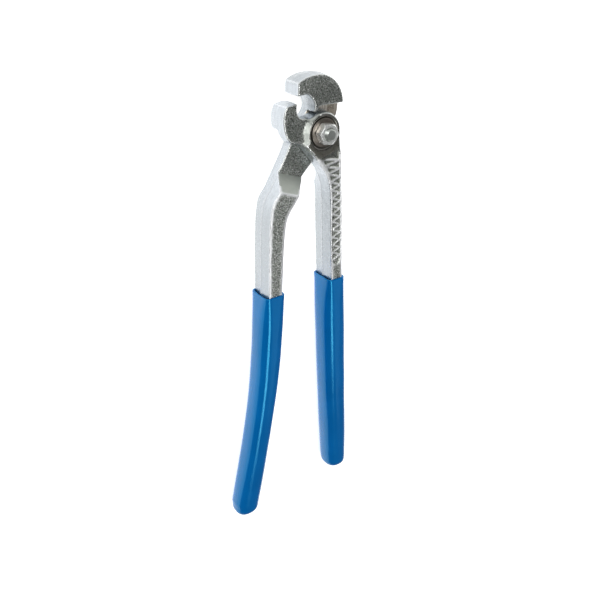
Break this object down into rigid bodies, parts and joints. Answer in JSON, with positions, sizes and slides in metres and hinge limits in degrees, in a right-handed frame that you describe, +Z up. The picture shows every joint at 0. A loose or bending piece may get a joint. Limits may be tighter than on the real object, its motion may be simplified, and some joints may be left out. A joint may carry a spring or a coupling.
{
  "type": "fencing pliers",
  "caption": "Fencing pliers with two forged half-lap levers on a pivot bolt, a hooked upper jaw over a blunt lower jaw, and dip-coated handles.",
  "frame": {"origin": "on the pivot axis, in the plane that the tool lies on: the centre of the bolt head's outer face", "axes": "+Y from the handles towards the jaws, +Z up along the pivot axis towards the nut, +X towards the front lever's handle side"},
  "size_m": [0.0816, 0.2575, 0.022],
  "materials": {
    "forged_steel": "plated drop forging, finely grained as forged",
    "zinc_hardware": "bright zinc plated",
    "blue_coating": "glossy dipped PVC"
  },
  "bodies": {
    "back_side": {"back_lever": "forged_steel", "back_grip": "blue_coating", "pivot_bolt": "zinc_hardware", "pivot_washer": "zinc_hardware", "pivot_nut": "zinc_hardware"},
    "front_side": {"front_lever": "forged_steel", "front_grip": "blue_coating"}
  },
  "joints": [
    {"name": "pivot", "type": "hinge", "parent": "back_side", "child": "front_side", "pos_m": [0, 0, 0.0083], "axis": [0, 0, 1], "range_deg": [-11, 20]}
  ]
}
